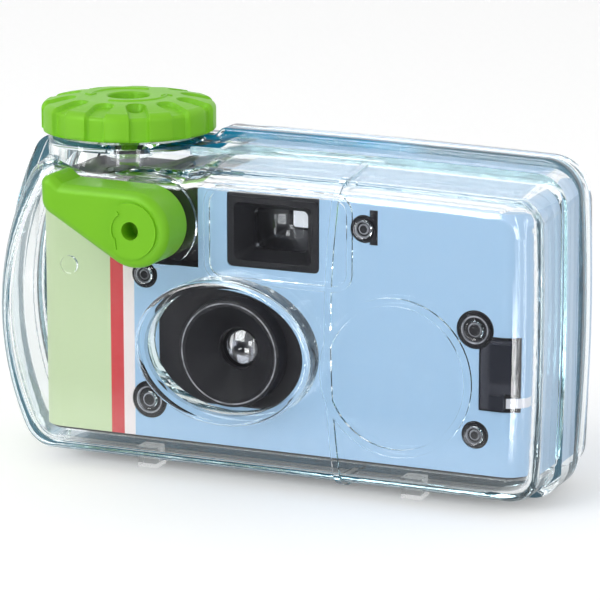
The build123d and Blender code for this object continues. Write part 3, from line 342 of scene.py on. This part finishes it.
def clear_plastic(name, tint, index=1.49, absorb=None, density=0.0, wave=0.015):
    """Clear moulded plastic; light passes it on the way to what lies behind."""
    material, tree, output = new_material(name)
    glass = tree.nodes.new("ShaderNodeBsdfPrincipled")
    glass.inputs["Base Color"].default_value = (*tint, 1)
    glass.inputs["Transmission Weight"].default_value = 1.0
    glass.inputs["IOR"].default_value = index
    flow = noise(tree, *clear_flow)
    link(tree, value_range(tree, flow, 0.0, clear_roughness), glass.inputs["Roughness"])
    link(tree, bump(tree, flow, wave, wave_distance), glass.inputs["Normal"])
    through = tree.nodes.new("ShaderNodeBsdfTransparent")
    through.inputs["Color"].default_value = (*tint, 1)
    path = tree.nodes.new("ShaderNodeLightPath")
    mix = tree.nodes.new("ShaderNodeMixShader")
    unbent = maximum(tree, path.outputs["Is Shadow Ray"], path.outputs["Is Diffuse Ray"])
    link(tree, unbent, mix.inputs["Fac"])
    link(tree, glass.outputs["BSDF"], mix.inputs[1])
    link(tree, through.outputs["BSDF"], mix.inputs[2])
    link(tree, mix.outputs["Shader"], output.inputs["Surface"])
    if absorb:
        volume = tree.nodes.new("ShaderNodeVolumeAbsorption")
        volume.inputs["Color"].default_value = (*absorb, 1)
        volume.inputs["Density"].default_value = density
        link(tree, volume.outputs["Volume"], output.inputs["Volume"])
    return material


def soft_seal(name, colour, pale):
    """Translucent rubber, clearer towards both ends of the housing and painted paler there, a painted
    lightening.
    """
    material, tree, output = new_material(name)
    shader = tree.nodes.new("ShaderNodeBsdfPrincipled")
    deeper = tuple(part * seal_deeper for part in colour)
    streaks = value_range(tree, noise(tree, *seal_streaks), 0.0, 1.0, *seal_streak_limits)
    body = colour_mix(tree, streaks, deeper, colour)
    axes = object_axes(tree)
    # Share towards both ends: it makes the rubber clearer and paints it paler there, a painted lightening
    thin = maximum(
        tree,
        value_range(tree, axes["X"], 0.0, 1.0, *seal_ends_right),
        value_range(tree, axes["X"], 1.0, 0.0, *seal_ends_left),
    )
    paler = product(tree, thin, seal_pale_share)
    link(tree, colour_mix(tree, paler, body, pale), shader.inputs["Base Color"])
    shader.inputs["Roughness"].default_value = seal_roughness
    link(tree, value_range(tree, thin, *seal_clearness), shader.inputs["Transmission Weight"])
    shader.inputs["IOR"].default_value = seal_index
    link(tree, shader.outputs["BSDF"], output.inputs["Surface"])
    return material


def ring_line(tree, place, radius, width):
    """1 on a thin ring about a place on the camera's front, seen along Y."""
    axes = object_axes(tree)
    aside = combine(tree, "SUBTRACT", axes["X"], place[0])
    upward = combine(tree, "SUBTRACT", axes["Z"], place[1])
    square = combine(tree, "ADD", product(tree, aside, aside), product(tree, upward, upward))
    distance = combine(tree, "POWER", square, 0.5)
    return inside(tree, distance, (radius - width / 2) * MM, (radius + width / 2) * MM)


def black_with_painted_highlights(name, rings, highlight_colour):
    """Black moulded plastic with painted highlight lines on its round edges, broken up by noise."""
    material = moulded(name, black_colour, **black_finish)
    tree = material.node_tree
    shader = next(node for node in tree.nodes if node.type == "BSDF_PRINCIPLED")
    base = shader.inputs["Base Color"].links[0].from_socket
    mask = None
    for place, radius, width in rings:
        line = ring_line(tree, place, radius, width)
        mask = line if mask is None else maximum(tree, mask, line)
    # Painted highlight: pale lines on the rings, broken up by noise
    painted_highlight = product(tree, mask, value_range(tree, noise(tree, *highlight_breakup), highlight_least, 1.0, *highlight_breakup_limits))
    link(tree, colour_mix(tree, painted_highlight, base, highlight_colour), shader.inputs["Base Color"])
    return material


def label_material():
    """Printed card: green, red, white and blue fields side by side, from the label's left edge."""
    material, tree, output = new_material("label_print")
    low, high, _ = node_box("label_sleeve")
    shader = tree.nodes.new("ShaderNodeBsdfPrincipled")
    axes = object_axes(tree)
    place = value_range(tree, axes["X"], 0.0, 1.0, low.x, high.x)
    ramp = tree.nodes.new("ShaderNodeValToRGB")
    ramp.color_ramp.interpolation = "CONSTANT"
    link(tree, place, ramp.inputs["Fac"])
    label_left = low.x + (label_thickness + label_side_margin) * MM
    elements = ramp.color_ramp.elements
    elements.remove(elements[-1])
    for number, (start, colour) in enumerate(label_fields):
        position = (label_left + start * MM - low.x) / (high.x - low.x) if number else 0.0
        element = elements.new(position) if number else elements[0]
        element.position = position
        element.color = (*srgb(*colour), 1)
    speckle = value_range(tree, noise(tree, *print_speckle), 0.0, speckle_share)
    print_colour = colour_mix(tree, speckle, ramp.outputs["Color"], white)
    tab_left = high.x - (label_thickness + tab_length) * MM
    tab_low = low.z + (tab_above - label_end_margin) * MM
    tab = inside(tree, axes["X"], tab_left, high.x + MM)
    tab = product(tree, tab, inside(tree, axes["Z"], tab_low, tab_low + tab_width * MM))
    tab = product(tree, tab, combine(tree, "LESS_THAN", axes["Y"], low.y + tab_reach * MM))
    link(tree, colour_mix(tree, tab, print_colour, srgb(*tab_colour)), shader.inputs["Base Color"])
    fine = noise(tree, *card_grain)
    link(tree, value_range(tree, fine, *card_roughness), shader.inputs["Roughness"])
    link(tree, bump(tree, fine, *card_bump), shader.inputs["Normal"])
    link(tree, shader.outputs["BSDF"], output.inputs["Surface"])
    return material


def dress(name, material):
    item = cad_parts[name]
    item.data.materials.clear()
    item.data.materials.append(material)


# Knob

def smooth_share(value, low, high):
    share = min(1.0, max(0.0, (value - low) / (high - low)))
    return share * share * (3 - 2 * share)


def knob_profile():
    """Half section as (radius, height): hole, lip, flat top, dome, round rim, side, hollow underside."""
    points = [(0.0, knob_height - knob_hole_depth)]
    floor_radius = knob_hole_radius - knob_lip
    points += [(floor_radius, knob_height - knob_hole_depth)]
    wall_steps = 6
    for step in range(1, wall_steps + 1):
        share = step / wall_steps
        height = knob_height - knob_hole_depth + (knob_hole_depth - knob_lip) * share
        points.append((floor_radius + knob_lip * share, height))
    lip_steps = 5
    for step in range(1, lip_steps + 1):
        turn = math.pi / 2 * step / lip_steps
        radius = knob_hole_radius + knob_lip * (1 - math.cos(turn))
        points.append((radius, knob_height - knob_lip + knob_lip * math.sin(turn)))
    radius = knob_hole_radius + knob_lip
    rim_centre_radius = knob_radius - knob_edge_radius
    rim_top = knob_height - knob_dome_drop
    top_step = 0.15
    while radius < rim_centre_radius:
        radius += top_step
        share = max(0.0, radius - knob_flat_radius) / (rim_centre_radius - knob_flat_radius)
        points.append((radius, knob_height - knob_dome_drop * share ** knob_dome_power))
    rim_steps = 12
    for step in range(1, rim_steps + 1):
        turn = math.pi / 2 * step / rim_steps
        radius = rim_centre_radius + knob_edge_radius * math.sin(turn)
        points.append((radius, rim_top - knob_edge_radius + knob_edge_radius * math.cos(turn)))
    side_steps = 6
    side_top = rim_top - knob_edge_radius
    for step in range(1, side_steps + 1):
        points.append((knob_radius, side_top + (knob_lip / 2 - side_top) * step / side_steps))
    points += [
        (knob_radius - knob_lip / 2, 0.0),
        (knob_radius - knob_skirt, 0.0),
        (knob_radius - knob_skirt, knob_skirt_depth),
        (knob_hub_radius, knob_skirt_depth),
        (knob_hub_radius, 0.0),
        (knob_socket_radius, 0.0),
        (knob_socket_radius, knob_hub_radius / 2),
        (0.0, knob_hub_radius / 2),
    ]
    return points


def knob_recess_share(radius, angle):
    """1 in a recess between two lobes, 0 on a lobe, with soft edges."""
    pitch = math.tau / knob_recesses
    off = (angle - math.radians(knob_recess_angle) + pitch / 2) % pitch - pitch / 2
    aside = abs(radius * math.sin(off))
    along = radius * math.cos(off)
    half = knob_recess_width / 2
    end = knob_recess_inner + half
    outside = aside - half if along > end else math.hypot(aside, along - end) - half
    return 1 - smooth_share(outside, -knob_recess_softness, knob_recess_softness)


def segment_distance(point, start, end):
    along = end - start
    share = max(0.0, min(1.0, (point - start).dot(along) / along.length_squared))
    return (point - start - along * share).length


def knob_arrow_share(radius, angle):
    """1 on the raised line of a curved arrow on the knob's top, 0 beside it."""
    point = Vector((radius * math.cos(angle), radius * math.sin(angle)))
    nearest = knob_radius
    for start in knob_arrow_starts:
        passed = (math.degrees(angle) - start) % 360
        if passed <= knob_arrow_sweep:
            nearest = min(nearest, abs(radius - knob_arrow_radius))
        tip_angle = math.radians(start + knob_arrow_sweep)
        tip = Vector((math.cos(tip_angle), math.sin(tip_angle))) * knob_arrow_radius
        for turn in (-knob_arrow_barb_angle, knob_arrow_barb_angle):
            heading = tip_angle - math.pi / 2 + turn
            barb = tip + Vector((math.cos(heading), math.sin(heading))) * knob_arrow_barb
            nearest = min(nearest, segment_distance(point, tip, barb))
    return 1 - smooth_share(nearest, knob_arrow_line / 2, knob_arrow_line)


def knob_point(profile, number, angle):
    radius, height = profile[number]
    before = Vector(profile[number - 1])
    after = Vector(profile[number + 1])
    along = (after - before).normalized()
    outward = Vector((-along.y, along.x))
    depth = 0.0
    beside_recess = radius > knob_recess_inner - knob_recess_reach and height < knob_height
    if beside_recess and number < len(profile) - knob_underside_points:
        depth = knob_recess_depth * knob_recess_share(radius, angle)
    moved = Vector((radius, height)) - outward * depth
    if height < knob_lip:
        moved.y = height
    if height == knob_height:
        moved.y += knob_arrow_height * knob_arrow_share(radius, angle)
    return Vector((moved.x * math.cos(angle), moved.x * math.sin(angle), moved.y))


def make_knob():
    profile = knob_profile()
    skin = bmesh.new()
    rows = []
    for number, (radius, height) in enumerate(profile):
        if radius == 0:
            rows.append([skin.verts.new((0, 0, height))])
            continue
        angles = [math.tau * side / knob_sides for side in range(knob_sides)]
        rows.append([skin.verts.new(knob_point(profile, number, angle)) for angle in angles])
    for low, high in zip(rows, rows[1:]):
        for side in range(knob_sides):
            after = side + 1
            corners = [low[after % len(low)], low[side % len(low)]]
            corners += [high[side % len(high)], high[after % len(high)]]
            skin.faces.new(list(dict.fromkeys(corners)))
    skin.normal_update()
    bmesh.ops.recalc_face_normals(skin, faces=skin.faces)
    mesh = bpy.data.meshes.new("knob_body")
    skin.to_mesh(mesh)
    skin.free()
    knob = bpy.data.objects.new("knob_body", mesh)
    bpy.context.scene.collection.objects.link(knob)
    drill_small_hole(knob)
    low, _, middle = node_box("wind_knob")
    scale_and_place(knob, Vector((middle.x, middle.y, low.z)))
    knob.data.set_sharp_from_angle(angle=math.radians(knob_sharp_angle))
    return knob


def drill_small_hole(knob):
    """Round hole through the knob's top, with a slightly flared mouth."""
    angle = math.radians(knob_small_hole_angle)
    cutter_mesh = bmesh.new()
    sides = small_hole_sides
    rings = [(knob_small_hole_radius, small_hole_start)]
    rings += [(knob_small_hole_radius + wider, knob_height - below) for wider, below in small_hole_flare]
    rows = []
    for radius, height in rings:
        rows.append([
            cutter_mesh.verts.new((
                knob_small_hole_place * math.cos(angle) + radius * math.cos(math.tau * side / sides),
                knob_small_hole_place * math.sin(angle) + radius * math.sin(math.tau * side / sides),
                height,
            ))
            for side in range(sides)
        ])
    for low, high in zip(rows, rows[1:]):
        for side in range(sides):
            after = (side + 1) % sides
            cutter_mesh.faces.new([low[side], low[after], high[after], high[side]])
    cutter_mesh.faces.new(rows[0][::-1])
    cutter_mesh.faces.new(rows[-1])
    mesh = bpy.data.meshes.new("knob_drill")
    cutter_mesh.to_mesh(mesh)
    cutter_mesh.free()
    cutter = bpy.data.objects.new("knob_drill", mesh)
    bpy.context.scene.collection.objects.link(cutter)
    cut = knob.modifiers.new("small_hole", "BOOLEAN")
    cut.operation = "DIFFERENCE"
    cut.solver = "EXACT"
    cut.object = cutter
    bpy.context.view_layer.update()
    shape = bpy.data.meshes.new_from_object(knob.evaluated_get(bpy.context.evaluated_depsgraph_get()))
    knob.modifiers.clear()
    knob.data = shape
    bpy.data.objects.remove(cutter)


def scale_and_place(item, place):
    """Turns a mesh drawn in millimetres about its own origin into metres at its place."""
    for vertex in item.data.vertices:
        vertex.co = vertex.co * MM + place
    for polygon in item.data.polygons:
        polygon.use_smooth = True


# Floor, light and camera

def make_floor():
    """Pale floor; in gloss and through plastic it ends at the table's front edge."""
    material, tree, output = new_material("pale_floor")
    shader = tree.nodes.new("ShaderNodeBsdfPrincipled")
    shader.inputs["Base Color"].default_value = (floor_shade, floor_shade, floor_shade, 1)
    shader.inputs["Roughness"].default_value = floor_roughness
    shader.inputs["Specular IOR Level"].default_value = floor_specular
    shader.inputs["Emission Color"].default_value = (*white, 1)
    beyond = value_range(tree, object_axes(tree)["Y"], 1.0, 0.0, *floor_end)
    path = tree.nodes.new("ShaderNodeLightPath")
    seen = maximum(tree, path.outputs["Is Camera Ray"], path.outputs["Is Transmission Ray"])
    link(tree, product(tree, seen, floor_lift), shader.inputs["Emission Strength"])
    indirect = maximum(tree, path.outputs["Is Glossy Ray"], path.outputs["Is Transmission Ray"])
    through = tree.nodes.new("ShaderNodeBsdfTransparent")
    mix = tree.nodes.new("ShaderNodeMixShader")
    link(tree, product(tree, beyond, indirect), mix.inputs["Fac"])
    link(tree, shader.outputs["BSDF"], mix.inputs[1])
    link(tree, through.outputs["BSDF"], mix.inputs[2])
    link(tree, mix.outputs["Shader"], output.inputs["Surface"])
    mesh = bpy.data.meshes.new("floor")
    size = floor_half_side
    corners = [(-size, -size, 0), (size, -size, 0), (size, size, 0), (-size, size, 0)]
    mesh.from_pydata(corners, [], [(0, 1, 2, 3)])
    mesh.materials.append(material)
    floor = bpy.data.objects.new("floor", mesh)
    bpy.context.scene.collection.objects.link(floor)


def make_world():
    """White for the camera, an even studio for matt surfaces, and soft bands for gloss and clear plastic."""
    world = bpy.data.worlds.new("studio")
    bpy.context.scene.world = world
    world.use_nodes = True
    tree = world.node_tree
    tree.nodes.clear()
    output = tree.nodes.new("ShaderNodeOutputWorld")
    split = tree.nodes.new("ShaderNodeSeparateXYZ")
    link(tree, tree.nodes.new("ShaderNodeTexCoord").outputs["Generated"], split.inputs["Vector"])
    bands = studio_bands_ramp(tree, value_range(tree, split.outputs["Z"], 0.0, 1.0, -1.0, 1.0))
    card = soft_window(tree, split.outputs["X"], *dark_card_across)
    card = product(tree, card, soft_window(tree, split.outputs["Z"], *dark_card_upward))
    card = product(tree, card, combine(tree, "LESS_THAN", split.outputs["Y"], 0.0))
    studio = colour_mix(tree, card, bands, dark_front)
    for place, width in strip_lights:
        beside = combine(tree, "ABSOLUTE", combine(tree, "SUBTRACT", split.outputs["X"], place), 0.0)
        strip = value_range(tree, beside, 1.0, 0.0, width * strip_core, width)
        strip = product(tree, strip, value_range(tree, split.outputs["Y"], 1.0, 0.0, *strip_front))
        strip = product(tree, strip, inside(tree, split.outputs["Z"], *strip_upward))
        studio = colour_mix(tree, strip, studio, (strip_brightness,) * 3)
    for across, upward, brightness in soft_boxes:
        box = soft_window(tree, split.outputs["X"], *across)
        box = product(tree, box, soft_window(tree, split.outputs["Z"], *upward))
        box = product(tree, box, combine(tree, "LESS_THAN", split.outputs["Y"], 0.0))
        studio = colour_mix(tree, box, studio, (brightness,) * 3)
    path = tree.nodes.new("ShaderNodeLightPath")
    indirect = maximum(tree, path.outputs["Is Glossy Ray"], path.outputs["Is Transmission Ray"])
    seen = colour_mix(tree, indirect, (studio_light,) * 3, studio)
    background = tree.nodes.new("ShaderNodeBackground")
    shown = colour_mix(tree, path.outputs["Is Camera Ray"], seen, white)
    link(tree, shown, background.inputs["Color"])
    link(tree, background.outputs["Background"], output.inputs["Surface"])


def soft_window(tree, source, low, high):
    """1 between two limits, falling to 0 over a short edge outside them."""
    rise = value_range(tree, source, 0.0, 1.0, low - soft_box_edge, low)
    return product(tree, rise, value_range(tree, source, 1.0, 0.0, high, high + soft_box_edge))


def studio_bands_ramp(tree, height):
    """Studio brightness from straight down to straight up."""
    ramp = tree.nodes.new("ShaderNodeValToRGB")
    link(tree, height, ramp.inputs["Fac"])
    elements = ramp.color_ramp.elements
    for number, (position, colour) in enumerate(studio_bands):
        inner = 0 < number < len(studio_bands) - 1
        element = elements.new(position) if inner else elements[0 if number == 0 else -1]
        element.color = (*colour, 1)
    return ramp.outputs["Color"]


def make_light(name, place, aim, size, power):
    data = bpy.data.lights.new(name, "AREA")
    data.shape = "RECTANGLE"
    data.size, data.size_y = size
    data.energy = power
    light = bpy.data.objects.new(name, data)
    light.location = place
    direction = Vector(aim) - Vector(place)
    light.rotation_euler = direction.to_track_quat("-Z", "Y").to_euler()
    bpy.context.scene.collection.objects.link(light)


def make_camera():
    azimuth = math.radians(camera_azimuth)
    elevation = math.radians(camera_elevation)
    back = Vector((
        math.sin(azimuth) * math.cos(elevation),
        -math.cos(azimuth) * math.cos(elevation),
        math.sin(elevation),
    ))
    data = bpy.data.cameras.new("camera")
    data.sensor_width = sensor_width
    data.lens = focal_pixels * sensor_width / image_pixels
    data.clip_start = camera_clip_start
    camera = bpy.data.objects.new("camera", data)
    camera.location = camera_target + back * camera_distance
    camera.rotation_euler = (-back).to_track_quat("-Z", "Y").to_euler()
    bpy.context.scene.collection.objects.link(camera)
    bpy.context.scene.camera = camera


clear = clear_plastic("clear_housing", (0.99, 0.997, 1.0), absorb=(0.1, 0.8, 0.95), density=4.5)
green = moulded("green_plastic", srgb(124, 194, 36), roughness=0.42, specular=0.22)
lever_green = moulded("lever_green", srgb(114, 184, 24), roughness=0.4, specular=0.25)
black_colour = srgb(28, 28, 32)
hatch_grey = moulded("hatch_grey", srgb(50, 52, 62), roughness=0.4, specular=0.3)
black = moulded("black_plastic", black_colour, **black_finish)
grey = moulded("grey_plastic", srgb(70, 72, 76), roughness=0.4)
# The second colour is the painted lightening at the gasket's ends
cyan = soft_seal("cyan_rubber", srgb(10, 166, 206), srgb(215, 243, 252))
metal = moulded("steel", srgb(190, 190, 195), roughness=0.3)
glass = clear_plastic("lens_glass", (0.95, 0.97, 1.0), index=1.5, wave=0.0)
dark_glass = clear_plastic("coated_glass", (0.5, 0.52, 0.58), index=1.8, wave=0.0)
film = moulded("film", srgb(60, 40, 32), roughness=0.2)
can = moulded("can", srgb(220, 220, 210), roughness=0.4)
white_plastic = moulded("white_plastic", srgb(225, 225, 222), roughness=0.4)
label = label_material()

for name in ("front_shell", "rear_shell"):
    dress(name, clear)
for name in ("wind_knob", "knob_shaft"):
    dress(name, green)
dress("shutter_lever", lever_green)
dress("housing_gasket", cyan)
dress("label_sleeve", label)
for name in ("camera_rear_cover", "camera_chassis", "upper_deck", "lens_panel", "lens_holder",
             "aperture_plate", "shutter_blade", "viewfinder_frame", "knob_seal", "lever_seal"):
    dress(name, black)
dress("hatch_plate", hatch_grey)
# Painted highlight rings on the studs and on the hood's edge
stud_highlight_rings = []
for across, height, opening in studs:
    place = (across * MM, height * MM)
    stud_highlight_rings += [(place, opening - stud_highlight_inset, stud_highlight_width), (place, opening / 3, stud_highlight_width)]
dress("camera_front_cover", black_with_painted_highlights("black_studs_painted_highlight", stud_highlight_rings, srgb(*stud_highlight_colour)))
_, _, lens_middle = node_box("lens_hood")
hood_highlight_ring = ((lens_middle.x, lens_middle.z), hood_highlight_radius, hood_highlight_width)
dress("lens_hood", black_with_painted_highlights("black_hood_painted_highlight", [hood_highlight_ring], srgb(*hood_highlight_colour)))
dress("taking_lens", dark_glass)
for name in ("release_arm", "wind_wheel", "cartridge_spool", "supply_spool", "sprocket_wheel", "lock_pawl",
             "release_button"):
    dress(name, grey)
for name in ("knob_clip", "lever_shaft", "lever_spring", "shutter_pin", "pawl_pin"):
    dress(name, metal)
for name in ("viewfinder_front_lens", "viewfinder_rear_lens", "counter_window"):
    dress(name, glass)
dress("counter_disc", white_plastic)
dress("film_cartridge", can)
dress("film_strip", film)
dress("film_roll", film)

knob_body = make_knob()
knob_body.data.materials.append(green)
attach(knob_body, "winder")
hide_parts("wind_knob")

make_floor()
make_world()
for name, place, size, power in lamps:
    make_light(name, place, lamp_aim, size, power)
make_camera()
bpy.context.scene.view_settings.view_transform = "Standard"
bpy.context.scene.cycles.max_bounces = light_bounces
bpy.context.scene.cycles.transmission_bounces = light_bounces
bpy.context.scene.cycles.glossy_bounces = light_bounces
bpy.context.scene.cycles.transparent_max_bounces = light_bounces
